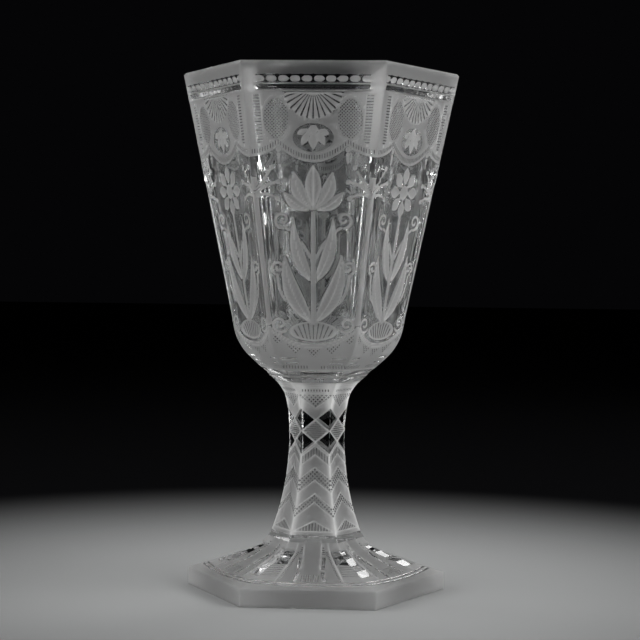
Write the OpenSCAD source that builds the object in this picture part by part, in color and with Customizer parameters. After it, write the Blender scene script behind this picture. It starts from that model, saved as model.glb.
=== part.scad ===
// Six-sided cut-glass goblet: bowl, stem and foot, three pieces of glass fused at two flat joints.
// Millimetres, +Z up, origin under the middle of the foot, one flat side facing -Y.

/* [Bowl] */
// Height of the rim above the table
rim_height = 200; // [170:1:240]
// Width of the rim across its flats
rim_width = 93; // [84:0.5:104]
// Height where the lines of the wall and the base meet
shoulder_height = 94.3; // [91:0.1:104]
// Width across the flats where those lines meet
shoulder_width = 55; // [48:0.5:62]
// Radius of the round between wall and base
shoulder_radius = 22.5; // [10:0.5:26]
// Thickness of the wall at the middle of a flat
wall = 4.5; // [3:0.1:6]
// Glass under the lowest point of the hollow
floor_glass = 7.5; // [5:0.1:12]
// How far the hollow's rounded corners lie outside its flats
corner_round = 3; // [1:0.1:4]
// Bevel along the outer edge of the rim
rim_bevel = 0.8; // [0.3:0.1:1.4]

/* [Rim cuts] */
// Drop from the rim to the top of the bead channel
bead_drop = 5.2; // [3:0.1:8]
// Height of the bead channel
bead_channel = 2.8; // [1.5:0.1:4]
// Matt line left between the bead channel and the polished band
line_height = 0.6; // [0.3:0.1:1.5]
// Height of the polished band
band_height = 2; // [1:0.1:3]
// Depth of both cuts
cut_depth = 0.5; // [0.2:0.1:1]

/* [Stem] */
// Height of the joint under the bowl
bowl_joint_height = 81.5; // [76:0.1:86]
// Width of that joint across its flats
bowl_joint_width = 30.2; // [26:0.2:36]
// Height where the neck starts to spread
neck_height = 72; // [66:0.1:74]
// Height of the waist
waist_height = 58; // [50:0.5:62]
// Width of the waist across its flats
waist_width = 19; // [15:0.2:23]

/* [Foot] */
// Height of the joint above the foot
foot_joint_height = 21.4; // [19:0.1:26]
// Width of that joint across its flats
foot_joint_width = 30.8; // [27:0.2:36]
// Width of the foot across its flats
foot_width = 87; // [78:0.5:98]
// Height of the foot's upright edge
plate_height = 6.7; // [4:0.1:8]
// Radius of the cove below the joint
cove_radius = 13; // [10:0.5:14]
// Slope of the cove at the joint, from upright
cove_start = 25; // [20:1:32]
// Slope of the cove where the skirt takes over, from upright
cove_end = 64; // [56:1:66]

/* [Hidden] */
$fn = 96;
// Reach of a cutting shape past the surface that it cuts
past = 5;
// How far a small arc reaches past the line that it continues, so that the two cross cleanly
arc_overlap = 0.02;
// Angle from the middle of a flat to a corner
half_side = 30;

// Points of the outline: half the width across flats, and the height
rim = [rim_width / 2, rim_height];
shoulder = [shoulder_width / 2, shoulder_height];
bowl_joint = [bowl_joint_width / 2, bowl_joint_height];
waist = [waist_width / 2, waist_height];
foot_joint = [foot_joint_width / 2, foot_joint_height];
plate_edge = [foot_width / 2, plate_height];

// Unit vector from one point to another
function unit(from, to) = (to - from) / norm(to - from);

// Radius of the arc that leaves a point square to a normal and passes through another point
function arc_radius(start, normal, end) = (end - start) * (end - start) / (2 * normal * (end - start));

// Wall of the bowl: spread per unit of height, and half its width at a height
wall_spread = (rim.x - shoulder.x) / (rim.y - shoulder.y);
function wall_at(z) = shoulder.x + wall_spread * (z - shoulder.y);

// Hollow of the bowl: its lowest point, and the ball that rounds its bottom and meets its corners
hollow_bottom = bowl_joint.y + floor_glass;
ball_half = wall_at(hollow_bottom) - wall + corner_round;
ball_radius = ball_half / (sqrt(1 + pow(wall_spread, 2)) - wall_spread);
ball_height = hollow_bottom + ball_radius;

// Waist arc: upright at the waist, through the foot joint
waist_radius = arc_radius(waist, [1, 0], foot_joint);
waist_centre = waist + [waist_radius, 0];

// Neck arc: leaves the waist arc at the neck, through the joint under the bowl
neck_rise = neck_height - waist.y;
neck = [waist_centre.x - sqrt(pow(waist_radius, 2) - pow(neck_rise, 2)), neck_height];
neck_normal = unit(neck, waist_centre);
neck_radius = arc_radius(neck, neck_normal, bowl_joint);
neck_centre = neck + neck_radius * neck_normal;

// Cove arc under the foot joint, then the skirt arc down to the edge of the plate
cove_centre = foot_joint + cove_radius * [cos(cove_start), sin(cove_start)];
skirt_normal = [cos(cove_end), sin(cove_end)];
skirt_start = cove_centre - cove_radius * skirt_normal;
skirt_radius = arc_radius(skirt_start, skirt_normal, plate_edge);
skirt_centre = skirt_start + skirt_radius * skirt_normal;

// Outline that is the same on both sides of the axis, from the points of its right side, upwards
module outline(right_side) {
    last = len(right_side) - 1;
    polygon(concat(right_side, [for (i = [last:-1:0]) [-right_side[i].x, right_side[i].y]]));
}

// What an arc takes off both sides of an outline, up to a height
module hollowed_waste(top_z, centre, radius) {
    for (side = [0, 1])
        mirror([side, 0])
            intersection() {
                translate(centre) circle(radius);
                translate([0, top_z - 2 * radius]) square([2 * centre.x, 2 * radius]);
            }
}

// Two opposite sides that follow the outline given as a child, turned about the axis in two steps
module side_pair(first_turn, second_turn) {
    reach = 2 * max(rim_width, foot_width);
    rotate(second_turn) rotate(first_turn) rotate([90, 0, 90]) linear_extrude(reach, center = true) children();
}

// Body with six equal sides: each pair takes two turns, so that all are rounded alike and their edges meet
module six_sided() {
    side = 2 * half_side;
    intersection() {
        side_pair(-side, side) children();
        side_pair(-side, 2 * side) children();
        side_pair(side, -2 * side) children();
    }
}

// What the round at the shoulder takes off the corner between base and wall
module shoulder_waste() {
    base_way = unit(shoulder, bowl_joint);
    wall_way = unit(shoulder, rim);
    half_angle = acos(base_way * wall_way) / 2;
    start = shoulder + base_way * shoulder_radius / tan(half_angle);
    end = shoulder + wall_way * shoulder_radius / tan(half_angle);
    centre = shoulder + unit([0, 0], base_way + wall_way) * shoulder_radius / sin(half_angle);
    difference() {
        polygon([start, shoulder + past * unit(centre, shoulder), end]);
        translate(centre) circle(shoulder_radius + arc_overlap);
    }
}

// Shallow cut around the wall, a drop below the rim
module wall_cut(drop, cut_height) {
    top_z = rim.y - drop;
    low_z = top_z - cut_height;
    polygon([
        [wall_at(low_z) - cut_depth, low_z], [wall_at(low_z) + past, low_z],
        [wall_at(top_z) + past, top_z], [wall_at(top_z) - cut_depth, top_z]
    ]);
}

module bowl_outline() {
    bevel_z = rim.y - rim_bevel;
    difference() {
        outline([bowl_joint, shoulder, [wall_at(bevel_z), bevel_z], [rim.x - rim_bevel, rim.y]]);
        for (side = [0, 1])
            mirror([side, 0]) {
                shoulder_waste();
                wall_cut(bead_drop, bead_channel);
                wall_cut(bead_drop + bead_channel + line_height, band_height);
            }
    }
}

// Ball and cone that round the bottom and the corners of the hollow
module hollow_round() {
    tilt = atan(wall_spread);
    tangent = [ball_radius * cos(tilt), ball_height - ball_radius * sin(tilt)];
    mouth = [tangent.x + wall_spread * (rim.y + past - tangent.y), rim.y + past];
    rotate_extrude() {
        polygon([[0, tangent.y], tangent, mouth, [0, mouth.y]]);
        intersection() {
            translate([0, ball_height]) circle(ball_radius + arc_overlap);
            translate([0, ball_height - 2 * ball_radius]) square(2 * ball_radius);
        }
    }
}

module hollow() {
    low_z = hollow_bottom - past;
    high_z = rim.y + past;
    intersection() {
        six_sided() outline([[wall_at(low_z) - wall, low_z], [wall_at(high_z) - wall, high_z]]);
        hollow_round();
    }
}

module stem_outline() {
    difference() {
        outline([[neck_centre.x, foot_joint.y], [neck_centre.x, bowl_joint.y]]);
        hollowed_waste(neck.y, waist_centre, waist_radius);
        hollowed_waste(bowl_joint.y + past, neck_centre, neck_radius + arc_overlap);
    }
}

// Flare of the foot, running on past the edge of the plate
module flare_outline() {
    difference() {
        outline([
            [foot_width, 0], [foot_width, skirt_start.y],
            [cove_centre.x, skirt_start.y], [cove_centre.x, foot_joint.y]
        ]);
        hollowed_waste(skirt_start.y + arc_overlap, skirt_centre, skirt_radius);
        hollowed_waste(foot_joint.y + past, cove_centre, cove_radius + arc_overlap);
    }
}

module bowl() {
    color("aliceblue")
        difference() {
            six_sided() bowl_outline();
            hollow();
        }
}

module stem() {
    color("lightsteelblue") six_sided() stem_outline();
}

module foot() {
    color("lightcyan")
        intersection() {
            six_sided() outline([[plate_edge.x, 0], [plate_edge.x, foot_joint.y]]);
            six_sided() flare_outline();
        }
}

bowl();
stem();
foot();
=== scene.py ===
# Six-sided cut-glass goblet with wheel engraving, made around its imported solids.
# Blender works in metres. The making below is in millimetres, with a flat side to -Y and corners on X.
import math

import bpy
import numpy as np
from mathutils import Matrix, Vector


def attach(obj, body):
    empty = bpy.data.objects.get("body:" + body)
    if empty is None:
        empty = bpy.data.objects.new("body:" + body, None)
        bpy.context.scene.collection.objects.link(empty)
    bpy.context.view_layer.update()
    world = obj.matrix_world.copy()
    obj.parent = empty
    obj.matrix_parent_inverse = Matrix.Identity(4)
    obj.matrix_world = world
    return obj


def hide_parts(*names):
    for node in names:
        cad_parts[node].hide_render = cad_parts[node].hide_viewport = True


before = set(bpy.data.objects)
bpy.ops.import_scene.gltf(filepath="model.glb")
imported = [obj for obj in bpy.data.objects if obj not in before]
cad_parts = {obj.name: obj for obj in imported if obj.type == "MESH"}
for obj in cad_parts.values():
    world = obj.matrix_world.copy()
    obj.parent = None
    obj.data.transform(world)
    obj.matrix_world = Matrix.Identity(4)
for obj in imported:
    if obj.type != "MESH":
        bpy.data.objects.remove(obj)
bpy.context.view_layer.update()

MM = 0.001
SIDES = 6
# Half the width of a flat, for each mm of half width across flats
FLAT_SHARE = math.tan(math.pi / SIDES)
# Width that the ground-off edge between two flats takes from each of them
ARRIS = 0.18
# Distance past which a drawn shape no longer counts. Ground that far outside every matt shape is polished
FAR = 3.0

# Half widths across the flats, and heights, of the solids
RIM = np.array([46.5, 200.0])
SHOULDER = np.array([27.5, 94.3])
BOWL_JOINT = np.array([15.1, 81.5])
WAIST = np.array([9.5, 58.0])
FOOT_JOINT = np.array([15.4, 21.4])
PLATE_EDGE = np.array([43.5, 6.7])

# Bowl: round between wall and base, wall, hollow and rim
SHOULDER_RADIUS = 22.5
WALL = 4.5
FLOOR_GLASS = 7.5
HOLLOW_BOTTOM = BOWL_JOINT[1] + FLOOR_GLASS
CORNER_ROUND = 3.0
RIM_BEVEL = 0.8
BAND_LOW, BAND_TOP = 189.4, 191.4
CHANNEL_LOW, CHANNEL_TOP = 192.0, 194.8
RIM_CUT = 0.5
WALL_SPREAD = (RIM[0] - SHOULDER[0]) / (RIM[1] - SHOULDER[1])

# Stem and foot: heights and slopes where one curve takes over from the next
NECK_HEIGHT = 72.0
COVE_RADIUS = 13.0
COVE_START, COVE_END = math.radians(25), math.radians(64)

# Points across one flat of each piece, and distances from one row of points to the next
BOWL_COLUMNS, STEM_COLUMNS, FOOT_COLUMNS = 69, 41, 57
BASE_STEP, ROUND_STEP, PANEL_STEP, CURTAIN_STEP = 0.7, 0.62, 0.56, 0.72
STEM_STEP, FLARE_STEP, PLATE_STEP, UNDER_STEP = 0.36, 0.42, 1.2, 4.0

# Heights of the zones of the engraving on the bowl, and of the polished rings at the two joints
CURTAIN_TOP, CURTAIN_LOW = 188.8, 163.5
SWAG_LOW, SWAG_RISE = 96.5, 7.0
BOWL_RING, STEM_RING = 83.0, 80.9
STEM_FOOT_RING, FOOT_RING = 22.4, 19.8

# Cusps of the curtain's hem: their share of the way from the middle of a flat to its corner, and their height
CUSP_SHARE, CUSP_HEIGHT = 0.54, 169.5

# Clear hairline that the wheel leaves between two forms that touch
HAIRLINE = 0.45
# How far outside a matt area its bite still holds, and outside a ruled or pricked one its pattern
BITE_MARGIN, PATTERN_MARGIN = 0.3, 1.0
# Distance from one vein of a leaf to the next
VEIN_PITCH = 1.7


def wall_at(z):
    """Half width of the bowl's wall at a height."""
    return SHOULDER[0] + WALL_SPREAD * (z - SHOULDER[1])


def unit(way):
    return way / np.hypot(*way)


def arc_radius(start, normal, end):
    """Radius of the arc that leaves start square to normal and passes through end."""
    return (end - start) @ (end - start) / (2 * normal @ (end - start))


def side_turn(side):
    """Angle from the X axis to the middle of a flat, counted from the one that faces -Y."""
    return 2 * math.pi * side / SIDES - math.pi / 2


# Outlines, from the bottom up

def run(start, end, step):
    """Points from start towards end, evenly, without the end."""
    count = max(1, round(np.hypot(*(end - start)) / step))
    return start + (end - start) * np.arange(count)[:, None] / count


def bend(centre, start, end, step):
    """Points on the arc about centre from start towards end, without the end."""
    first = math.atan2(start[1] - centre[1], start[0] - centre[0])
    last = math.atan2(end[1] - centre[1], end[0] - centre[0])
    turn = (last - first + math.pi) % (2 * math.pi) - math.pi
    radius = np.hypot(*(start - centre))
    count = max(2, round(abs(turn) * radius / step))
    angle = first + turn * np.arange(count) / count
    return centre + radius * np.stack([np.cos(angle), np.sin(angle)], 1)


def on_wall(heights):
    """Points of the bowl's wall at some heights."""
    heights = np.atleast_1d(np.array(heights, float))
    return np.stack([wall_at(heights), heights], 1)


def bowl_rows():
    """Outside of the bowl from the joint to the top of the rim, with a pair of rows at each lip of a cut."""
    base_way, wall_way = unit(BOWL_JOINT - SHOULDER), unit(RIM - SHOULDER)
    half_angle = math.acos(base_way @ wall_way) / 2
    start = SHOULDER + base_way * SHOULDER_RADIUS / math.tan(half_angle)
    end = SHOULDER + wall_way * SHOULDER_RADIUS / math.tan(half_angle)
    centre = SHOULDER + unit(base_way + wall_way) * SHOULDER_RADIUS / math.sin(half_angle)
    lip = 0.05
    panel_top, curtain_top = on_wall(CURTAIN_LOW)[0], on_wall(BAND_LOW - lip)[0]
    band_count, channel_count, edge_count = 5, 10, 4
    band = np.linspace(BAND_LOW + lip, BAND_TOP - lip, band_count)
    channel = np.linspace(CHANNEL_LOW + lip, CHANNEL_TOP - lip, channel_count)
    above = np.linspace(CHANNEL_TOP + lip, RIM[1] - RIM_BEVEL, edge_count)
    return np.concatenate([
        run(BOWL_JOINT, start, BASE_STEP), bend(centre, start, end, ROUND_STEP),
        run(end, panel_top, PANEL_STEP), run(panel_top, curtain_top, CURTAIN_STEP), [curtain_top],
        on_wall(band), on_wall([BAND_TOP + lip, CHANNEL_LOW - lip]), on_wall(channel), on_wall(above),
        [RIM - [RIM_BEVEL, 0]],
    ])


def stem_rows():
    """Stem from the joint on the foot, past the waist and the neck, to the joint under the bowl."""
    waist_radius = arc_radius(WAIST, np.array([1, 0]), FOOT_JOINT)
    waist_centre = WAIST + [waist_radius, 0]
    rise = NECK_HEIGHT - WAIST[1]
    neck = np.array([waist_centre[0] - math.sqrt(waist_radius ** 2 - rise ** 2), NECK_HEIGHT])
    neck_normal = unit(waist_centre - neck)
    neck_centre = neck + arc_radius(neck, neck_normal, BOWL_JOINT) * neck_normal
    return np.concatenate([
        bend(waist_centre, FOOT_JOINT, neck, STEM_STEP),
        bend(neck_centre, neck, BOWL_JOINT, STEM_STEP),
        [BOWL_JOINT],
    ])


def foot_rows():
    """Foot from near the middle of its underside, out to the plate's edge and up the flare to the joint."""
    cove_centre = FOOT_JOINT + COVE_RADIUS * np.array([math.cos(COVE_START), math.sin(COVE_START)])
    skirt_normal = np.array([math.cos(COVE_END), math.sin(COVE_END)])
    skirt_start = cove_centre - COVE_RADIUS * skirt_normal
    skirt_centre = skirt_start + arc_radius(skirt_start, skirt_normal, PLATE_EDGE) * skirt_normal
    bevel = 0.25
    near_middle, under = np.array([5.0, 0]), np.array([PLATE_EDGE[0] - bevel, 0])
    side_low, side_top = np.array([PLATE_EDGE[0], bevel]), PLATE_EDGE - [0, bevel]
    flare_low = PLATE_EDGE + [-0.2, 0.06]
    return np.concatenate([
        run(near_middle, under, UNDER_STEP), [under],
        run(side_low, side_top, PLATE_STEP), [side_top],
        bend(skirt_centre, flare_low, skirt_start, FLARE_STEP),
        bend(cove_centre, skirt_start, FOOT_JOINT, FLARE_STEP), [FOOT_JOINT],
    ])


# Drawing on a flat: each shape gives the mm that a point lies inside it, minus where it lies outside.
# x is the distance from the flat's middle line, so that what is drawn is alike on both sides of it.

def disc(x, z, centre, radius):
    return radius - np.hypot(x - centre[0], z - centre[1])


def oval(x, z, centre, half_width, half_height):
    from_centre = np.hypot((x - centre[0]) / half_width, (z - centre[1]) / half_height)
    return min(half_width, half_height) * (1 - from_centre)


def band_between(z, low, high):
    return np.minimum(z - low, high - z)


def bar(x, z, start, end, half_start, half_end):
    """Straight bar with round ends that tapers from one half width to another."""
    (x0, z0), (x1, z1) = start, end
    length_squared = (x1 - x0) ** 2 + (z1 - z0) ** 2
    share = np.clip(((x - x0) * (x1 - x0) + (z - z0) * (z1 - z0)) / length_squared, 0, 1)
    off = np.hypot(x - x0 - share * (x1 - x0), z - z0 - share * (z1 - z0))
    return half_start + (half_end - half_start) * share - off


def tendril(x, z, points, half_start, half_end):
    """Bent stroke through points that tapers along its way."""
    halves = np.linspace(half_start, half_end, len(points))
    bars = [bar(x, z, points[i], points[i + 1], halves[i], halves[i + 1]) for i in range(len(points) - 1)]
    return np.max(bars, axis=0)


def bow_points(start, pull, end, count=10):
    """Points of a bowed line that leaves start towards pull and comes to end from pull."""
    share = np.linspace(0, 1, count)[:, None]
    start, pull, end = np.array(start), np.array(pull), np.array(end)
    return (1 - share) ** 2 * start + 2 * share * (1 - share) * pull + share ** 2 * end


def curl_points(centre, radius, first_angle, turns, count=22):
    """Points of a curl that winds inwards about centre, to a fifth of its radius, with angles in degrees."""
    share = np.linspace(0, 1, count)
    angle = np.radians(first_angle + 360 * turns * share)
    reach = radius * (1 - 0.8 * share)
    return np.stack([centre[0] + reach * np.cos(angle), centre[1] + reach * np.sin(angle)], 1)


def leaf(x, z, base, tip, half_width, bow=0.0, belly=0.75):
    """Pointed leaf on a bowed rib, widest lower down for a small belly: mm inside, along and off the rib."""
    chord_x, chord_z = tip[0] - base[0], tip[1] - base[1]
    length = math.hypot(chord_x, chord_z)
    share = ((x - base[0]) * chord_x + (z - base[1]) * chord_z) / length ** 2
    aside = ((z - base[1]) * chord_x - (x - base[0]) * chord_z) / length
    held = np.clip(share, 0, 1)
    aside = aside - 4 * bow * held * (1 - held)
    beyond = (share - held) * length
    half = half_width * np.sin(math.pi * held ** belly)
    return half - np.hypot(aside, beyond), share * length, aside


class Engraving:
    """What the wheel leaves on one flat: matt ground and its bite, clear dots, fine lines and depth."""

    def __init__(self, x, z):
        self.x, self.z = x, z
        self.matt = np.full(x.shape, -FAR)
        self.bite = np.ones(x.shape)
        self.dots = np.full(x.shape, -FAR)
        self.lines = np.full(x.shape, -FAR)
        self.line_phase = np.zeros(x.shape)
        self.lattice = [np.zeros(x.shape), np.zeros(x.shape)]
        self.depth = np.zeros(x.shape)
        self.faceted = np.zeros(x.shape, bool)

    def ground(self, inside, depth, bite):
        """Even matt ground that slopes to its depth."""
        slope_width = 0.6
        self.matt = np.maximum(self.matt, inside)
        self.depth = np.maximum(self.depth, depth * np.clip(inside / slope_width, 0, 1))
        self.bite = np.where(inside > -BITE_MARGIN, bite, self.bite)

    def form(self, inside, depth, round_width, bite=0.9):
        """Rounded matt hollow, set off from what it overlaps by a clear hairline. Its frost is lighter at the
        bottom and heavier and whiter at its edge: painted light and shade that model the hollow.
        """
        painted_shade_at_bottom, painted_edge_light = -0.12, 0.5
        self.matt = np.maximum(np.minimum(self.matt, -inside - HAIRLINE), inside)
        self.dots = np.minimum(self.dots, -inside)
        self.lines = np.minimum(self.lines, -inside)
        self.faceted = self.faceted & (inside < 0)
        fall = 1 - np.clip(inside / round_width, 0, 1)
        self.depth = np.where(inside > 0, depth * np.sqrt(1 - fall ** 2), self.depth)
        # Bite lower at the bottom and higher at the edge: painted shade and painted light that give the
        # hollow its volume.
        self.bite = np.where(inside > -BITE_MARGIN, bite + painted_shade_at_bottom + painted_edge_light * fall ** 2, self.bite)

    def stroke(self, inside):
        """Slender bright stroke."""
        self.form(inside, depth=0.3, round_width=0.5, bite=1.1)

    def polish(self, inside, depth):
        """Polished window, cut in by depth."""
        self.matt = np.minimum(self.matt, -inside)
        self.depth = np.where(inside > 0, depth, self.depth)

    def flute(self, inside, steepness):
        """Polished cut with two flat sides. Points on its very edge count as part of it."""
        self.matt = np.minimum(self.matt, -inside)
        self.depth = self.depth + steepness * np.clip(inside, 0, None)
        self.faceted = self.faceted | (inside > -0.01)

    def groove(self, off, half_width=0.32, depth=0.14):
        """Bright line with V-shaped sides, off mm from its middle."""
        heavy = 1.4
        share = np.clip(1 - np.abs(off) / half_width, 0, 1)
        self.depth = self.depth + depth * share
        self.bite = np.maximum(self.bite, heavy * np.clip(2 * share, 0, 1))

    def fine_groove(self, off, half_width=0.3):
        """Shallower bright line."""
        self.groove(off, half_width, depth=0.1)

    def rule(self, inside, phase):
        """Fine lines, one for each whole step of phase."""
        self.lines = np.maximum(self.lines, inside)
        self.line_phase = np.where(inside > -PATTERN_MARGIN, phase, self.line_phase)

    def prick(self, inside, pitch):
        """Slanting lattice of clear dots, with pitch mm from one to the next along a row."""
        self.dots = np.maximum(self.dots, inside)
        for i, slanted in enumerate((self.x + self.z, self.x - self.z)):
            self.lattice[i] = np.where(inside > -PATTERN_MARGIN, slanted / pitch, self.lattice[i])


def glow_to_ridge(x, half, at_middle, at_ridge=1.0):
    """Bite of a ground that grows from the middle of a flat to its corners. The heavier, whiter frost at the
    corners is a painted glow, for the light that the glass carries to its edges.
    """
    return at_middle + (at_ridge - at_middle) * np.clip(x / half, 0, 1) ** 2


# Engraving of the rim

def slanting_cut(z, low, top):
    """Depth of a rim cut that deepens from its top to its lower lip, as deep as the solid's on average."""
    return 2 * RIM_CUT * (top - z) / (top - low)


def bead_row(work, x, z, half):
    """Rounded matt beads that stand in a clear channel."""
    per_flat = 12
    bead_radius, half_straight, round_width, stand = 1.05, 0.72, 0.9, 0.9
    pitch = 2 * half / per_flat
    middle = (CHANNEL_LOW + CHANNEL_TOP) / 2
    from_bead = np.abs((x / pitch) % 1 - 0.5) * pitch
    bead = bead_radius - np.hypot(np.maximum(from_bead - half_straight, 0), z - middle)
    channel = band_between(z, CHANNEL_LOW, CHANNEL_TOP)
    channel_depth = slanting_cut(z, CHANNEL_LOW, CHANNEL_TOP)
    work.polish(channel, channel_depth)
    in_channel = channel > 0
    work.matt = np.where(in_channel, bead, work.matt)
    rise = np.sqrt(1 - (1 - np.clip(bead / round_width, 0, 1)) ** 2)
    work.depth = np.where(in_channel, channel_depth * (1 - stand * rise), work.depth)
    work.bite = np.where(in_channel, 1.0, work.bite)

    # Around the beads the channel is painted dark, as if it were the middle of one wide clear dot: painted
    # shade for the dark that clear glass shows there
    bead_gap, dark_margin, dot_middle = 0.1, 0.2, 0.5
    dark = channel > -dark_margin
    work.prick(np.where(dark, -bead - bead_gap, -FAR), 1)
    work.lattice = [np.where(dark, dot_middle, phase) for phase in work.lattice]


def corner_post(work, x, z, half, width):
    """Lightly ground post at each corner of the rim, where the cuts end."""
    light = 0.4
    post = np.where(z > BAND_LOW, width - (half - x), -FAR)
    work.matt = np.maximum(work.matt, post)
    work.dots = np.minimum(work.dots, -post)
    work.bite = np.where(post > -BITE_MARGIN, light, work.bite)
    work.depth = np.where(post > 0, 0, work.depth)


def rim_border(work, x, z, half, post_width, bite):
    """Matt border along the rim, with a polished band, the beads and the posts. Its frost is heavier and
    whiter at the corners, a painted glow at the edges.
    """
    lower_line, painted_corner_glow = 0.45, 0.35
    # Heavier frost towards the corners is a painted glow at the edges.
    work.ground(z - BAND_LOW + lower_line, 0, bite + painted_corner_glow * (x / half) ** 6)
    work.polish(band_between(z, BAND_LOW, BAND_TOP), slanting_cut(z, BAND_LOW, BAND_TOP))
    bead_row(work, x, z, half)
    corner_post(work, x, z, half, post_width)


# Engraving of the curtain under the rim

def scalloped_hem(x, half):
    """Height of the curtain's hem: a deep scallop on each flat and a shallow one around each corner."""
    fullness, corner_drop = 0.8, 4.0
    share = x / half
    to_cusp = np.clip(share / CUSP_SHARE, 0, 1)
    past_cusp = np.clip((share - CUSP_SHARE) / (1 - CUSP_SHARE), 0, 1)
    middle_fall = (CUSP_HEIGHT - CURTAIN_LOW) * np.cos(math.pi / 2 * to_cusp) ** fullness
    corner_fall = corner_drop * np.sin(math.pi / 2 * past_cusp) ** fullness
    return CUSP_HEIGHT - np.where(share < CUSP_SHARE, middle_fall, corner_fall)


def curtain(work, x, z, half):
    """Matt curtain with a laddered hem, laddered ribbons and ovals of lattice."""
    hem_rung, ribbon_rung, lattice_pitch = 0.95, 1.05, 1.25
    above_hem, below_top = z - scalloped_hem(x, half), CURTAIN_TOP - z
    # The frost grows heavier and whiter towards the corners: a painted glow at the edges.
    work.ground(np.minimum(above_hem, below_top), 0.1, glow_to_ridge(x, half, 0.2, 0.36))
    work.rule(np.minimum(band_between(above_hem, 0.9, 2.6), 0.985 * half - x), x / hem_rung)
    for border in (0.45, 3.2):
        work.groove(above_hem - border)
    ribbon_middle, ribbon_half = 0.82 * half, 1.25
    ribbon_ends = np.minimum(above_hem - 4.3, below_top - 0.8)
    ribbon = np.minimum(ribbon_half - np.abs(x - ribbon_middle), ribbon_ends)
    work.rule(ribbon, z / ribbon_rung)
    work.fine_groove(np.where(ribbon > -PATTERN_MARGIN, ribbon + 0.4, FAR))
    lattice = oval(x, z, (13.6, 179.2), 4.6, 7.2)
    work.prick(lattice, lattice_pitch)
    work.groove(lattice + 0.8)


def pleated_shell(work, x, z):
    """Shell that opens downwards from the curtain's top, with a wavy edge and a line along each pleat."""
    pleats = 15
    hinge_height, shell_radius, edge_wave = CURTAIN_TOP + 1.5, 11.2, 0.55
    below_hinge = hinge_height - z
    reach = np.hypot(x, below_hinge)
    pleat = np.arctan2(x, below_hinge) * pleats / math.pi
    wave = np.cos(2 * math.pi * pleat)
    shell = np.minimum(shell_radius + edge_wave * wave - reach, CURTAIN_TOP - 0.3 - z)
    work.form(shell, depth=0.5, round_width=3.0)
    work.depth = np.where(shell > 0, work.depth * (0.6 + 0.4 * wave), work.depth)
    work.rule(np.minimum(shell - 0.4, reach - 3), pleat + 0.5)


def medallion(work, x, z):
    """Clear oval under the shell that frames a bud with five hanging petals."""
    bud_centre, bud_radius, petal_root = (0, 175.4), 1.5, 175.6
    work.polish(oval(x, z, (0, 172.4), 7.6, 5.2), 0.15)
    for tip, half_width in (((6.0, 173.6), 1.0), ((4.4, 169.6), 1.2), ((0.0, 168.0), 1.5)):
        petal, _, _ = leaf(x, z, (0.2 * tip[0], petal_root), tip, half_width, belly=1.3)
        work.form(petal, depth=0.5, round_width=half_width)
    work.form(disc(x, z, bud_centre, bud_radius), depth=0.5, round_width=bud_radius)


def hanging_beads(work, x, z):
    """String of dwindling beads under each cusp of the hem."""
    string_top = 168
    string_x = CUSP_SHARE * wall_at(string_top) * FLAT_SHARE
    for drop, radius in ((1.4, 0.9), (3.3, 0.75), (4.9, 0.6), (6.2, 0.45)):
        work.stroke(disc(x, z, (string_x, CUSP_HEIGHT - drop), radius))


# Engraving of the panels

def veined(work, shape, depth, half_width):
    """Leaf or petal with a raised rib and faint veins that run off it."""
    inside, along, aside = shape
    off_rib = np.abs(aside)
    work.form(inside, depth, half_width)
    faint, slant = -0.05, 0.8
    clear_of_edges = np.minimum(inside - 0.5, off_rib - 0.3)
    work.rule(np.minimum(clear_of_edges, faint), (along - slant * off_rib) / VEIN_PITCH)
    work.groove(np.where(inside > 0.6, aside, FAR), half_width=0.5, depth=-0.12)


def ridge_shaft(work, x, z, half):
    """Matt shaft up each corner of the bowl, with polished flutes beside it, each on one column of points."""
    shaft_width = 1.9
    shaft = np.minimum(shaft_width - (half - x), band_between(z, 103.5, 158))
    work.form(shaft, depth=0.25, round_width=shaft_width)
    column = half / ((BOWL_COLUMNS - 1) / 2)
    steepness, end_taper = 0.9, 0.1
    for number in (3, 6, 8):
        off = np.abs(half - ARRIS - x - number * column)
        work.flute(np.minimum(column - off, end_taper * band_between(z, 105, 164)), steepness)


def twigs(work, x, z, half):
    """Slender budding twigs that spread from the top of each shaft."""
    from_ridge, bud_radius = half - x, 0.85
    for root, pull, tip in (
        ((1, 153), (3.5, 156), (7.6, 161.6)),
        ((1, 152), (4, 155.5), (9.4, 156.4)),
        ((1, 151), (4.5, 153), (8.4, 150.4)),
    ):
        work.stroke(tendril(from_ridge, z, bow_points(root, pull, tip), 0.5, 0.35))
        work.stroke(disc(from_ridge, z, tip, bud_radius))


def scrolls(work, x, z):
    """Three curls beside the stalk, and the tendril that carries the uppermost."""
    turns = 1.3
    for centre, radius, first_angle in (
        ((12.5, 103.8), 3.3, 215),
        ((13.1, 124.9), 2.7, 275),
        ((11.4, 142.6), 3.2, 250),
    ):
        work.stroke(tendril(x, z, curl_points(centre, radius, first_angle, turns), 0.42, 0.32))
    work.stroke(tendril(x, z, bow_points((0.5, 127), (4.5, 137), (10.3, 139.6)), 0.45, 0.42))


def plinth(work, x, z):
    """Oval plinth, ruled in a fan."""
    fan_root, lines_per_radian = 90, 7.3
    mound = oval(x, z, (0, 101.2), 8.8, 3.6)
    work.form(mound, depth=0.5, round_width=2.4)
    work.rule(mound - 0.5, lines_per_radian * np.arctan2(x, z - fan_root) + 0.5)


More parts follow.
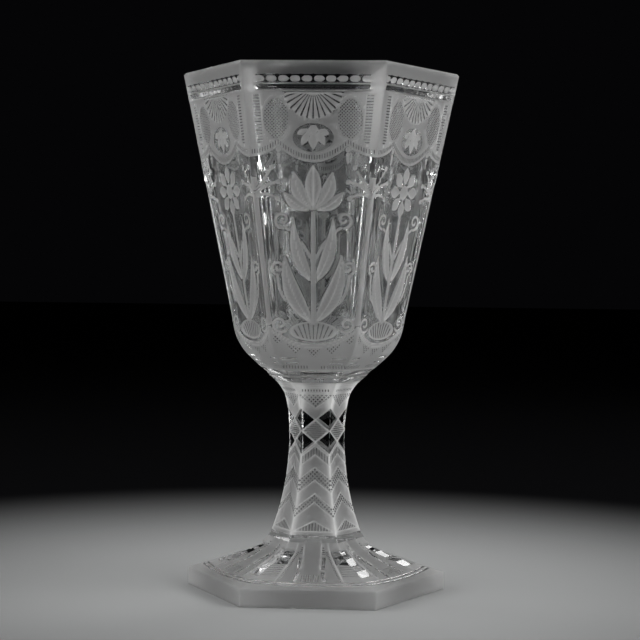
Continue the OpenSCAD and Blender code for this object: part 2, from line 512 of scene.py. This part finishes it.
def leafy_stalk(work, x, z):
    """Stalk that grows from the plinth, with a tendril and two leaves on each side."""
    work.stroke(tendril(x, z, bow_points((0.5, 110), (12.5, 108), (13.4, 122.2)), 0.45, 0.42))
    for base, tip, half_width, bow, depth in (
        ((0.8, 104.6), (10.6, 130.5), 3.0, -2.6, 0.7),
        ((0.6, 119.5), (7.2, 144.0), 2.3, -2.2, 0.65),
    ):
        veined(work, leaf(x, z, base, tip, half_width, bow), depth, half_width)
    work.form(bar(x, z, (0, 104.4), (0, 148), 0.9, 0.65), depth=0.45, round_width=0.9)


def lily(work, x, z):
    """Lily with five petals that open upwards."""
    root = (0, 146)
    for tip, half_width, bow in (
        ((11.2, 153.0), 1.9, -1.6),
        ((7.2, 160.4), 2.4, -1.8),
        ((0, 162.6), 2.9, 0),
    ):
        veined(work, leaf(x, z, root, tip, half_width, bow, belly=1.2), 0.75, half_width)


def daisy(work, x, z):
    """Daisy with eight petals around its eye."""
    middle = np.array([0, 153.4])
    eye_radius, petal_root, petal_tip, petal_half = 2.6, 2.4, 9.4, 2.1
    for turn in np.radians(np.arange(-90, 91, 45)):
        way = np.array([math.cos(turn), math.sin(turn)])
        petal, _, _ = leaf(x, z, middle + petal_root * way, middle + petal_tip * way, petal_half, belly=1.3)
        work.form(petal, depth=0.6, round_width=petal_half)
    work.form(disc(x, z, middle, eye_radius), depth=0.5, round_width=eye_radius)


# Engraving of the bowl's base

def swag(work, x, z, half):
    """Matt base with a hanging hem, a garland pricked in points, polished slits and a clear ring."""
    hem = SWAG_LOW + SWAG_RISE * (x / half) ** 2.4
    below = hem - z
    work.ground(np.minimum(below, z - BOWL_RING), 0.1, 1.0)
    work.groove(below - 0.5)
    work.fine_groove(below - 1.5, 0.28)
    point_pitch, point_drop, dot_pitch = 7.2, 5.6, 1.5
    from_point = np.abs((x / point_pitch + 0.5) % 1 - 0.5) * point_pitch
    garland = np.minimum(below - 2.1, point_drop - from_point - below)
    work.prick(np.minimum(garland, 0.93 * half - x), dot_pitch)
    slit_half_height, slit_depth = 0.38, 0.2
    for slit_z, slit_share, half_length in ((90.6, 0.7, 3.0), (88.6, 0.66, 2.4)):
        slit = np.minimum(slit_half_height - np.abs(z - slit_z), half_length - np.abs(x - slit_share * half))
        work.polish(slit, slit_depth)
    rung = 1.1
    work.rule(np.minimum(band_between(z, 86.6, 87.9), x - 0.2 * half), x / rung)
    ring_top = 85.6
    work.polish(band_between(z, BOWL_RING + 0.5, ring_top), 0.25)
    work.fine_groove(z - ring_top - 0.4, 0.28)


def engrave_bowl(x, z, half, flower, post_width, rim_bite):
    """One flat of the bowl, from the joint to the rim."""
    work = Engraving(x, z)
    swag(work, x, z, half)
    ridge_shaft(work, x, z, half)
    twigs(work, x, z, half)
    scrolls(work, x, z)
    plinth(work, x, z)
    leafy_stalk(work, x, z)
    flower(work, x, z)
    curtain(work, x, z, half)
    pleated_shell(work, x, z)
    medallion(work, x, z)
    hanging_beads(work, x, z)
    rim_border(work, x, z, half, post_width, rim_bite)
    return work


def engrave_lily_flat(x, z, half):
    return engrave_bowl(x, z, half, lily, post_width=5.0, rim_bite=0.07)


def engrave_daisy_flat(x, z, half):
    return engrave_bowl(x, z, half, daisy, post_width=1.5, rim_bite=0.16)


# Engraving of the stem

def stem_collar(work, x, z, half):
    """Two lines and a ruled band around the neck, and a pricked point that hangs from them."""
    rung, dot_pitch = 1.1, 1.65
    for line_z in (79.9, 79.0):
        work.fine_groove(z - line_z)
    work.rule(np.minimum(0.45 - np.abs(z - 77.8), 0.8 * half - x), x / rung)
    point = np.minimum(76.4 - z, 0.8 * (z - 70.8 - 0.72 * x))
    work.prick(point - 0.3, dot_pitch)
    work.groove(point)


def ruled_lozenge(work, x, z, half):
    """Lozenge across the flat, ruled with level lines."""
    middle, half_height, rung = 62.0, 4.3, 0.8
    lozenge = 3.2 * (1 - np.abs(z - middle) / half_height - x / (half - 0.1))
    work.rule(lozenge - 0.5, z / rung)
    work.fine_groove(lozenge - 0.1)


def chevrons(work, x, z):
    """A ruled chevron and two pricked ones down the stem, and a ruled pediment above the foot."""
    peak, slope, rung, dot_pitch, pediment_rung = 56.9, 0.78, 1.05, 1.65, 1.15
    below_peak = peak - slope * x - z
    ruled = slope * band_between(below_peak, 0.6, 4.0)
    work.rule(ruled - 0.25, x / rung)
    work.groove(ruled)
    for top, low in ((8.8, 13.8), (18.9, 22.2)):
        pricked = slope * band_between(below_peak, top, low)
        work.prick(pricked - 0.2, dot_pitch)
        work.groove(pricked)
    pediment = np.minimum(z - 23.7, 0.86 * (27.8 - 0.5 * x - z))
    work.groove(pediment)
    work.rule(pediment - 0.35, x / pediment_rung)


def corner_diamonds(work, x, z, half):
    """Two polished diamonds on each corner, with a line around them."""
    half_height, half_width = 4.4, half - 0.35
    for middle in (66.4, 57.5):
        diamond = 0.68 * half_height * (1 - np.abs(z - middle) / half_height - (half - x) / half_width)
        work.fine_groove(diamond + 0.22, 0.25)
        work.polish(diamond, 0.06)


def engrave_stem(x, z, half):
    """One flat of the stem, matt between its two clear rings. Its frost is painted heavier and whiter at the
    corners and up the neck, painted light for the glow at the edges and on the neck.
    """
    work = Engraving(x, z)
    neck_low, neck_rise, painted_neck_glow = 68, 8, 0.9
    neck = np.clip((z - neck_low) / neck_rise, 0, 1)
    # Heavier frost at the corners and up the neck is painted light, so that those parts read brighter.
    bite = glow_to_ridge(x, half, 0.25, 1.55) + painted_neck_glow * neck
    work.ground(band_between(z, STEM_FOOT_RING, STEM_RING), 0, bite)
    stem_collar(work, x, z, half)
    ruled_lozenge(work, x, z, half)
    chevrons(work, x, z)
    corner_diamonds(work, x, z, half)
    return work


# Engraving of the foot, where reach is the distance from the axis to the flat

def rays(work, x, reach, strip, on_flare):
    """Tongue down the flare's middle, ruled at its end, between ruled capitals, slits and pricked lines."""
    ray_end = 37.5
    tongue = 3.3 + 1.3 * np.clip((reach - 26) / 12, 0, 1) ** 2
    capital_rung, tongue_rung, dot_pitch = 0.75, 0.9, 1.1
    capital = np.minimum(band_between(x, tongue + 0.3, strip - 2), band_between(reach, 17.2, 20.4))
    work.rule(on_flare(capital), reach / capital_rung)
    tongue_end = np.minimum(tongue - 0.5 - x, band_between(reach, 32.2, 37.2))
    work.rule(on_flare(tongue_end), x / tongue_rung)
    pricked = np.minimum(0.5 - np.abs(x - strip + 1.5), band_between(reach, 19, 37))
    work.prick(on_flare(pricked), dot_pitch)
    in_rays = on_flare(ray_end - reach) > 0
    work.groove(np.where(in_rays, x - strip + 0.35, FAR))
    work.fine_groove(np.where(in_rays, x - tongue, FAR))
    slit_lengths = np.maximum(band_between(reach, 21.5, 29), band_between(reach, 30.2, 36.8))
    slit = np.minimum(0.75 - np.abs(x - tongue - 1.2), slit_lengths)
    work.polish(on_flare(slit), 0.3)


def corner_window(work, x, reach, strip, on_flare, ruled):
    """Polished window on each corner, cut in bars that slant in and out, or ruled on its outer half."""
    inner_end, outer_end, bars, rung = 18.2, 33.6, 4, 1.2
    least_depth, step_depth = 0.15, 0.7
    window = on_flare(np.minimum(x - strip, band_between(reach, inner_end, outer_end)))
    step = (reach - inner_end) / (outer_end - inner_end) * bars
    if ruled:
        hatched = np.minimum(window, reach - (inner_end + outer_end) / 2)
        work.rule(hatched - 0.2, reach / rung)
        window = np.minimum(window, -hatched)
    work.polish(window, least_depth + step_depth * np.abs(step % 2 - 1))
    work.faceted = window > 0


def foot_rings(work, x, reach, half, on_flare):
    """Two polished rings near the plate's edge, which follow its sides and swing in at the corners."""
    ring_half, steepness, corner_swing = 0.45, 0.5, 1.7
    for ring in (40.0, 38.4):
        in_ring = on_flare(ring_half - np.abs(reach + corner_swing * (x / half) ** 2 - ring))
        work.polish(in_ring, steepness * in_ring)


def engrave_foot(x, z, half, ruled):
    """One flat of the foot, matt but for the middle of its underside, the ring at the joint and the cuts."""
    reach = half / FLAT_SHARE
    work = Engraving(x, reach)

    def on_flare(inside):
        return np.where((z > PLATE_EDGE[1]) & (z < FOOT_RING), inside, -FAR)

    under_border, underside = 4, z < 0.1
    matt = np.where(underside, reach - PLATE_EDGE[0] + under_border, FOOT_RING - z)
    plate_bite, flare_bite = 0.22, 0.24
    # The frost grows heavier and whiter towards the corners: a painted glow at the edges.
    work.ground(matt, 0, glow_to_ridge(x, half, np.where(z < PLATE_EDGE[1], plate_bite, flare_bite)))
    strip = 0.625 * half
    rays(work, x, reach, strip, on_flare)
    corner_window(work, x, reach, strip, on_flare, ruled)
    foot_rings(work, x, reach, half, on_flare)
    ring_bead = disc(x, z, (2.8, FOOT_RING + 0.1), 0.6)
    work.matt = np.maximum(work.matt, ring_bead)
    return work


def engrave_ruled_flat(x, z, half):
    return engrave_foot(x, z, half, ruled=True)


def engrave_stepped_flat(x, z, half):
    return engrave_foot(x, z, half, ruled=False)


# Skins

def six_sided_points(rows, columns, depth):
    """Points of a six-sided skin, as rows by columns all the way round, cut in by depth for each side."""
    across, up = np.gradient(rows, axis=0).T
    out, rise = np.stack([up, -across]) / np.hypot(across, up)
    half = rows[:, 0] * FLAT_SHARE - ARRIS
    along = half[:, None] * columns
    points = np.empty((len(rows), SIDES, len(columns), 3))
    for side in range(SIDES):
        turn = side_turn(side)
        reach = rows[:, :1] - depth[side] * out[:, None]
        points[:, side, :, 0] = reach * math.cos(turn) - along * math.sin(turn)
        points[:, side, :, 1] = reach * math.sin(turn) + along * math.cos(turn)
        points[:, side, :, 2] = rows[:, 1:] - depth[side] * rise[:, None]
    return points.reshape(-1, 3)


def skin_faces(first, row_count, ring):
    """Four-cornered faces of a skin whose rows close on themselves after ring points."""
    row, column = np.meshgrid(np.arange(row_count - 1), np.arange(ring), indexing="ij")
    low, high = row * ring, (row + 1) * ring
    beside = (column + 1) % ring
    corners = [low + column, low + beside, high + beside, high + column]
    return first + np.stack(corners, -1).reshape(-1, 4)


def crisp_strips(rows):
    """Which strips between two rows are lips, or narrow bevels with a sharp turn on both sides."""
    sharp_turn, lip_width = math.radians(20), 0.15
    way = np.diff(rows, axis=0)
    turns = np.abs(np.diff(np.unwrap(np.arctan2(way[:, 1], way[:, 0])))) > sharp_turn
    bevels = np.append(True, turns) & np.append(turns, True)
    return bevels | (np.hypot(*way.T) < lip_width)


def engraved_skin(rows, column_count, engravers):
    """Points, faces, which faces are crisp edges, and the marks of the wheel on a six-sided skin.
    The engravers take turns around its flats."""
    columns = np.linspace(-1, 1, column_count)
    half = np.repeat(rows[:, :1] * FLAT_SHARE, column_count, axis=1)
    across = np.abs(columns * (half - ARRIS))
    height = np.repeat(rows[:, 1:], column_count, axis=1)
    works = [engrave(across, height, half) for engrave in engravers]
    sides = [works[side % len(works)] for side in range(SIDES)]
    points = six_sided_points(rows, columns, [work.depth for work in sides])
    faceted = np.concatenate([work.faceted for work in sides], axis=1)
    crisp = crisp_strips(rows)[:, None] | (faceted[1:] & faceted[:-1])
    crisp[:, column_count - 1::column_count] = True

    def all_round(by_side):
        """One row of values for each point, from the arrays of each side."""
        return np.stack([np.stack(arrays, -1) for arrays in by_side], 1).reshape(len(points), -1)

    marks = {
        "wheel_marks": all_round([np.clip([work.matt, work.dots, work.lines], -FAR, FAR) for work in sides]),
        "wheel_phases": all_round([[*work.lattice, work.line_phase] for work in sides]),
        "wheel_bite": all_round([[work.bite] for work in sides]),
    }
    return points, skin_faces(0, len(rows), SIDES * column_count), crisp.ravel(), marks


def glass_piece(name, node, points, faces, crisp, marks, glass):
    """Piece of glass that stands for a node. Points that have no marks are polished."""
    mesh = bpy.data.meshes.new(name)
    mesh.from_pydata((points * MM).tolist(), [], [list(map(int, face)) for face in faces])
    mesh.polygons.foreach_set("use_smooth", ~np.array(crisp))
    for label, values in marks.items():
        wide = values.shape[1]
        bare = -FAR if label == "wheel_marks" else 0
        values = np.concatenate([values, np.full((len(points) - len(values), wide), bare)])
        attribute = mesh.attributes.new(label, "FLOAT_VECTOR" if wide == 3 else "FLOAT", "POINT")
        attribute.data.foreach_set("vector" if wide == 3 else "value", values.astype(np.float32).ravel())
    mesh.materials.append(glass)
    mesh.update()
    piece = bpy.data.objects.new(name, mesh)
    bpy.context.scene.collection.objects.link(piece)
    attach(piece, "root")
    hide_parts(node)


def hollow_points(columns):
    """Inside of the bowl from the rim to near its lowest point: six softened flats and a round bottom."""
    ball_half = wall_at(HOLLOW_BOTTOM) - WALL + CORNER_ROUND
    ball_radius = ball_half / (math.sqrt(1 + WALL_SPREAD ** 2) - WALL_SPREAD)
    ball_height = HOLLOW_BOTTOM + ball_radius
    tilt = math.atan(WALL_SPREAD)
    tangent = ball_height - ball_radius * math.sin(tilt)
    lip, lip_spread, row_count, softness = 0.6, 0.7, 26, 36
    dip = np.linspace(tilt, math.radians(86), row_count)
    wall_heights = np.linspace(RIM[1] - lip, tangent, row_count)[:-1]
    heights = np.concatenate([[RIM[1]], wall_heights, ball_height - ball_radius * np.sin(dip)])
    flat = wall_at(heights) - WALL
    flat[0] += lip_spread * lip
    ball_dip = np.arcsin(np.clip((ball_height - heights) / ball_radius, -1, 1))
    corner = np.where(heights > tangent, flat + CORNER_ROUND, ball_radius * np.cos(ball_dip))
    lean = np.arctan(FLAT_SHARE * columns)
    plane = flat[:, None] / np.cos(lean)
    reach = (plane ** -softness + corner[:, None] ** -softness) ** (-1 / softness)
    height = np.repeat(heights[:, None], len(columns), axis=1)
    turns = [side_turn(side) + lean for side in range(SIDES)]
    points = [np.stack([reach * np.cos(turn), reach * np.sin(turn), height], -1) for turn in turns]
    return np.stack(points, 1).reshape(len(heights), -1, 3)


def wiped_bloom(inner):
    """Faint bloom that drink leaves on the inside, wiped into upright streaks."""
    drink_height, fade_height, streak_share = 186, 12, 0.45
    angle = np.arctan2(inner[..., 1], inner[..., 0]).ravel()
    streaks = np.sin(11 * angle) * np.sin(17 * angle + 1) + np.sin(29 * angle + 2) * np.sin(7 * angle)
    wet = np.clip((drink_height - inner[..., 2].ravel()) / fade_height, 0, 1)
    return wet * (1 + streak_share * streaks)


def make_bowl(glass):
    """Bowl: engraved outside, then the top of the rim, the hollow and its lowest point."""
    points, faces, crisp, marks = engraved_skin(
        bowl_rows(), BOWL_COLUMNS, [engrave_lily_flat, engrave_daisy_flat])
    # The hollow has one column of points for every three of the outside
    thin = 3
    inner = hollow_points(np.linspace(-1, 1, BOWL_COLUMNS)[::thin])
    ring, inner_ring = SIDES * BOWL_COLUMNS, inner.shape[1]
    first = len(points)
    rim_first = first - ring
    last_row, bottom = first + (len(inner) - 1) * inner_ring, first + len(inner) * inner_ring
    rim, floor = [], []
    for i in range(inner_ring):
        beside = (i + 1) % inner_ring
        outer = [rim_first + (thin * i + k) % ring for k in range(thin + 1)]
        rim.append([*outer, first + beside, first + i])
        floor.append([last_row + i, last_row + beside, bottom])
    inner_faces = skin_faces(first, len(inner), inner_ring)
    marks["drink_bloom"] = np.concatenate([np.zeros(first), wiped_bloom(inner)])[:, None]
    points = np.concatenate([points, inner.reshape(-1, 3), [[0, 0, HOLLOW_BOTTOM]]])
    faces = [*faces.tolist(), *rim, *inner_faces.tolist(), *floor]
    crisp = np.concatenate([crisp, np.ones(len(rim), bool), np.zeros(len(inner_faces) + len(floor), bool)])
    glass_piece("bowl_glass", "bowl", points, faces, crisp, marks, glass)


def make_stem(glass):
    """Stem: engraved all round, and open where it is fused to bowl and foot."""
    glass_piece("stem_glass", "stem", *engraved_skin(stem_rows(), STEM_COLUMNS, [engrave_stem]), glass)


def make_foot(glass):
    """Foot: engraved all round, closed by a fan of faces under its middle."""
    points, faces, crisp, marks = engraved_skin(
        foot_rows(), FOOT_COLUMNS, [engrave_ruled_flat, engrave_stepped_flat])
    ring = SIDES * FOOT_COLUMNS
    middle = len(points)
    under = [[(i + 1) % ring, i, middle] for i in range(ring)]
    points = np.concatenate([points, [[0, 0, 0]]])
    crisp = np.concatenate([crisp, np.zeros(ring, bool)])
    glass_piece("foot_glass", "foot", points, [*faces.tolist(), *under], crisp, marks, glass)


# Materials

def linear(hex_colour):
    """Linear colour of an sRGB hex value."""
    parts = [int(hex_colour[i:i + 2], 16) / 255 for i in (1, 3, 5)]
    return [p / 12.92 if p <= 0.04045 else ((p + 0.055) / 1.055) ** 2.4 for p in parts] + [1.0]


def add(tree, kind, inputs=None, **settings):
    """Node of a kind with its settings. Each input takes a value, or a node or socket to link from."""
    made = tree.nodes.new(kind)
    for name, value in settings.items():
        setattr(made, name, value)
    for name, source in (inputs or {}).items():
        if isinstance(source, bpy.types.Node):
            source = source.outputs[0]
        if isinstance(source, bpy.types.NodeSocket):
            tree.links.new(source, made.inputs[name])
        else:
            made.inputs[name].default_value = source
    return made


def wheel_engraved_crystal():
    """Lead crystal, cut and polished, then engraved with copper wheels. The polished glass is clear and shows
    what is behind it, bent and edged with dark. What the wheel touched is a soft pale grey that catches light
    from all sides."""
    material = bpy.data.materials.new("wheel_engraved_crystal")
    material.use_nodes = True
    tree = material.node_tree
    tree.nodes.clear()
    drawn = [add(tree, "ShaderNodeAttribute", attribute_name="wheel_" + part) for part in ("marks", "phases")]
    marks, phases = [add(tree, "ShaderNodeSeparateXYZ", {0: field.outputs["Vector"]}) for field in drawn]

    # Where the ground is matt, pricked or ruled, with an edge a quarter of a mm wide
    edge = 0.12
    matt, in_dots, in_lines = [
        add(tree, "ShaderNodeMapRange", {"Value": inside, "From Min": -edge, "From Max": edge})
        for inside in marks.outputs
    ]
    matt.interpolation_type = "SMOOTHSTEP"

    # Clear dots where two sets of slanting lines cross, and clear lines over half as wide as the matt between
    from_middle = []
    for phase in phases.outputs:
        part = add(tree, "ShaderNodeMath", {0: phase}, operation="FRACT")
        off = add(tree, "ShaderNodeMath", {0: part, 1: 0.5}, operation="SUBTRACT")
        from_middle.append(add(tree, "ShaderNodeMath", {0: off}, operation="ABSOLUTE"))
    widest = add(tree, "ShaderNodeMath", {0: from_middle[0], 1: from_middle[1]}, operation="MAXIMUM")
    dot = add(tree, "ShaderNodeMapRange", {"Value": widest, "From Min": 0.36, "From Max": 0.24})
    line = add(tree, "ShaderNodeMapRange", {"Value": from_middle[2], "From Min": 0.26, "From Max": 0.12})
    dots = add(tree, "ShaderNodeMath", {0: dot, 1: in_dots}, operation="MULTIPLY")
    lines = add(tree, "ShaderNodeMath", {0: line, 1: in_lines}, operation="MULTIPLY")
    fine = add(tree, "ShaderNodeMath", {0: dots, 1: lines}, operation="MAXIMUM")
    spared = add(tree, "ShaderNodeMath", {0: fine, 1: -0.98, 2: 1.0}, operation="MULTIPLY_ADD")
    bite = add(tree, "ShaderNodeAttribute", attribute_name="wheel_bite").outputs["Fac"]
    bitten = add(tree, "ShaderNodeMath", {0: matt, 1: bite}, operation="MULTIPLY")
    frost = add(tree, "ShaderNodeMath", {0: bitten, 1: spared}, operation="MULTIPLY")

    # Grit of the wheel is about 0.05 mm, and is drawn at 0.4 mm so that it shows. Its strokes vary over 6 mm
    place = add(tree, "ShaderNodeTexCoord").outputs["Object"]
    grit = add(tree, "ShaderNodeTexNoise", {"Vector": place, "Scale": 1 / (0.4 * MM), "Detail": 2.0})
    strokes = add(tree, "ShaderNodeTexNoise", {"Vector": place, "Scale": 1 / (6 * MM), "Detail": 3.0})
    worked = add(tree, "ShaderNodeMapRange", {
        "Value": strokes, "From Min": 0.3, "From Max": 0.7, "To Min": 0.86, "To Max": 1.0,
    })
    frosted = add(tree, "ShaderNodeMath", {0: frost, 1: worked}, operation="MULTIPLY")

    # Light frost is grey and heavy frost white. Fine clear marks are painted dark grey, painted shade so that
    # they read dark
    touched = add(tree, "ShaderNodeMapRange", {"Value": frosted, "From Max": 0.12})
    clean, light_frost, heavy_frost, painted_dark_grey = map(linear, ("#F9FAFA", "#B4B4B4", "#F4F4F3", "#4A4C4E"))
    light = add(tree, "ShaderNodeMix", {0: touched, 6: clean, 7: light_frost}, data_type="RGBA")
    heavy = add(tree, "ShaderNodeMapRange", {"Value": frosted, "From Min": 0.95, "From Max": 1.6})
    cut = add(tree, "ShaderNodeMix", {0: heavy, 6: light.outputs[2], 7: heavy_frost}, data_type="RGBA")
    # Painted shade on the fine clear marks.
    dark = add(tree, "ShaderNodeMath", {0: fine, 1: 0.55}, operation="MULTIPLY")
    colour = add(tree, "ShaderNodeMix", {0: dark, 6: cut.outputs[2], 7: painted_dark_grey}, data_type="RGBA")

    # Frost scatters light and lets less of it through the glass, and the bloom inside the bowl takes some too
    rough = add(tree, "ShaderNodeMapRange", {"Value": touched, "To Min": 0.015, "To Max": 0.68})
    clear = add(tree, "ShaderNodeMapRange", {"Value": frosted, "From Max": 1.5, "To Min": 1, "To Max": 0.44})
    bloom = add(tree, "ShaderNodeAttribute", attribute_name="drink_bloom").outputs["Fac"]
    through = add(tree, "ShaderNodeMath", {0: bloom, 1: -0.08, 2: clear}, operation="MULTIPLY_ADD")

    # Fine lines and dots stand 0.06 mm above the ground matt, which has the tooth of the grit
    tooth = add(tree, "ShaderNodeMath", {0: grit, 1: frost}, operation="MULTIPLY")
    height = add(tree, "ShaderNodeMath", {0: tooth, 1: 0.3, 2: fine}, operation="MULTIPLY_ADD")
    bump = add(tree, "ShaderNodeBump", {"Strength": 0.6, "Distance": 0.06 * MM, "Height": height})
    glass = add(tree, "ShaderNodeBsdfPrincipled", {
        "Base Color": colour.outputs[2], "Roughness": rough, "Transmission Weight": through, "Normal": bump,
        "IOR": 1.54,
    })
    add(tree, "ShaderNodeOutputMaterial", {"Surface": glass})
    return material


def painted_light_pool_sheet():
    """Background paper with a painted pool of light: pale where the goblet stands and painted darker with
    distance to black all round, a painted falloff of the light. Otherwise it is plain and matt, so that it
    keeps the shadow and mirrors no lamp."""
    material = bpy.data.materials.new("matt_paper_with_painted_light_pool")
    material.use_nodes = True
    tree = material.node_tree
    tree.nodes.clear()
    place = add(tree, "ShaderNodeTexCoord").outputs["Object"]
    away = add(tree, "ShaderNodeVectorMath", {0: place}, operation="LENGTH").outputs["Value"]
    # Painted pool of light and its painted falloff to black.
    painted_falloff = add(tree, "ShaderNodeMapRange", {"Value": away, "From Min": 50 * MM, "From Max": 300 * MM},
               interpolation_type="SMOOTHSTEP")
    pale, black = linear("#969797"), linear("#0A0A0B")
    colour = add(tree, "ShaderNodeMix", {0: painted_falloff, 6: pale, 7: black}, data_type="RGBA")
    sheet = add(tree, "ShaderNodeBsdfPrincipled", {
        "Base Color": colour.outputs[2], "Roughness": 1.0, "Specular IOR Level": 0.0,
    })
    add(tree, "ShaderNodeOutputMaterial", {"Surface": sheet})
    return material


# Studio, in metres

def make_floor():
    """Sheet of paper a tenth of a mm under the foot."""
    reach = 4.0
    mesh = bpy.data.meshes.new("floor")
    corners = [(-reach, -reach), (reach, -reach), (reach, reach), (-reach, reach)]
    mesh.from_pydata([(x, y, -0.1 * MM) for x, y in corners], [], [(0, 1, 2, 3)])
    mesh.materials.append(painted_light_pool_sheet())
    floor = bpy.data.objects.new("floor", mesh)
    bpy.context.scene.collection.objects.link(floor)


def soft_lamp(name, place, width, height, watts):
    """Rectangular lamp that is turned to the goblet and that the camera doesn't see."""
    aim = Vector((0, 0, 0.12))
    lamp = bpy.data.lights.new(name, "AREA")
    lamp.shape = "RECTANGLE"
    lamp.size, lamp.size_y = width, height
    lamp.energy = watts
    holder = bpy.data.objects.new(name, lamp)
    holder.location = place
    holder.rotation_euler = (aim - Vector(place)).to_track_quat("-Z", "Y").to_euler()
    holder.visible_camera = False
    bpy.context.scene.collection.objects.link(holder)


def make_lights():
    """Softboxes at both sides, in front, behind and above, and low strips for the sides of the foot."""
    soft_lamp("left_softbox", (-0.55, -0.1, 0.48), 0.5, 0.4, 2.1)
    soft_lamp("right_softbox", (0.55, -0.1, 0.48), 0.5, 0.4, 3.0)
    soft_lamp("left_strip", (-0.55, -0.06, 0.07), 0.08, 0.14, 0.42)
    soft_lamp("right_strip", (0.55, -0.06, 0.07), 0.08, 0.14, 0.75)
    soft_lamp("front_left_softbox", (-0.65, -0.75, 0.26), 0.5, 0.4, 3.3)
    soft_lamp("front_right_softbox", (0.65, -0.75, 0.26), 0.5, 0.4, 4.1)
    soft_lamp("back_left_softbox", (-0.68, 0.42, 0.6), 0.3, 0.3, 1.4)
    soft_lamp("back_right_softbox", (0.4, 0.65, 0.6), 0.3, 0.3, 1.6)
    soft_lamp("top_softbox", (0, 0.3, 0.7), 0.4, 0.4, 0.8)


def make_world():
    """Near-black backdrop, also where it is mirrored or seen through glass, and a faint fill elsewhere."""
    world = bpy.data.worlds.new("studio")
    world.use_nodes = True
    tree = world.node_tree
    tree.nodes.clear()
    path = add(tree, "ShaderNodeLightPath")
    seen = path.outputs["Is Camera Ray"]
    for ray in ("Is Glossy Ray", "Is Transmission Ray"):
        seen = add(tree, "ShaderNodeMath", {0: seen, 1: path.outputs[ray]}, operation="MAXIMUM")
    fill = add(tree, "ShaderNodeBackground", {"Color": linear("#FFFFFF"), "Strength": 0.02})
    backdrop = add(tree, "ShaderNodeBackground", {"Color": linear("#050506"), "Strength": 1.0})
    mixed = add(tree, "ShaderNodeMixShader", {0: seen, 1: fill, 2: backdrop})
    add(tree, "ShaderNodeOutputWorld", {"Surface": mixed})
    bpy.context.scene.world = world


def make_camera():
    """Camera a little right of the front flat's middle and below the bowl's, tipped down a little."""
    swing, dip, roll = math.radians(3.5), 0.036, -0.011
    distance, height, aside = 662 * MM, 128.3 * MM, 0.7 * MM
    sensor_width, focal_pixels, image_pixels = 36, 1698.6, 640
    turn = Matrix.Rotation(swing, 3, "Z")
    right = turn @ Vector((1, 0, 0))
    ahead = turn @ Vector((0, math.cos(dip), -math.sin(dip)))
    up = right.cross(ahead)
    rolled_right = math.cos(roll) * right - math.sin(roll) * up
    rolled_up = math.sin(roll) * right + math.cos(roll) * up
    place = turn @ Vector((aside, -distance, height))
    lens = bpy.data.cameras.new("camera")
    lens.sensor_width = sensor_width
    lens.lens = sensor_width * focal_pixels / image_pixels
    lens.clip_start = 0.01
    camera = bpy.data.objects.new("camera", lens)
    axes = Matrix((rolled_right, rolled_up, -ahead)).transposed().to_4x4()
    camera.matrix_world = Matrix.Translation(place) @ axes
    bpy.context.scene.collection.objects.link(camera)
    bpy.context.scene.camera = camera


make_camera()
crystal = wheel_engraved_crystal()
make_bowl(crystal)
make_stem(crystal)
make_foot(crystal)
make_floor()
make_lights()
make_world()
bpy.context.scene.view_settings.view_transform = "Standard"
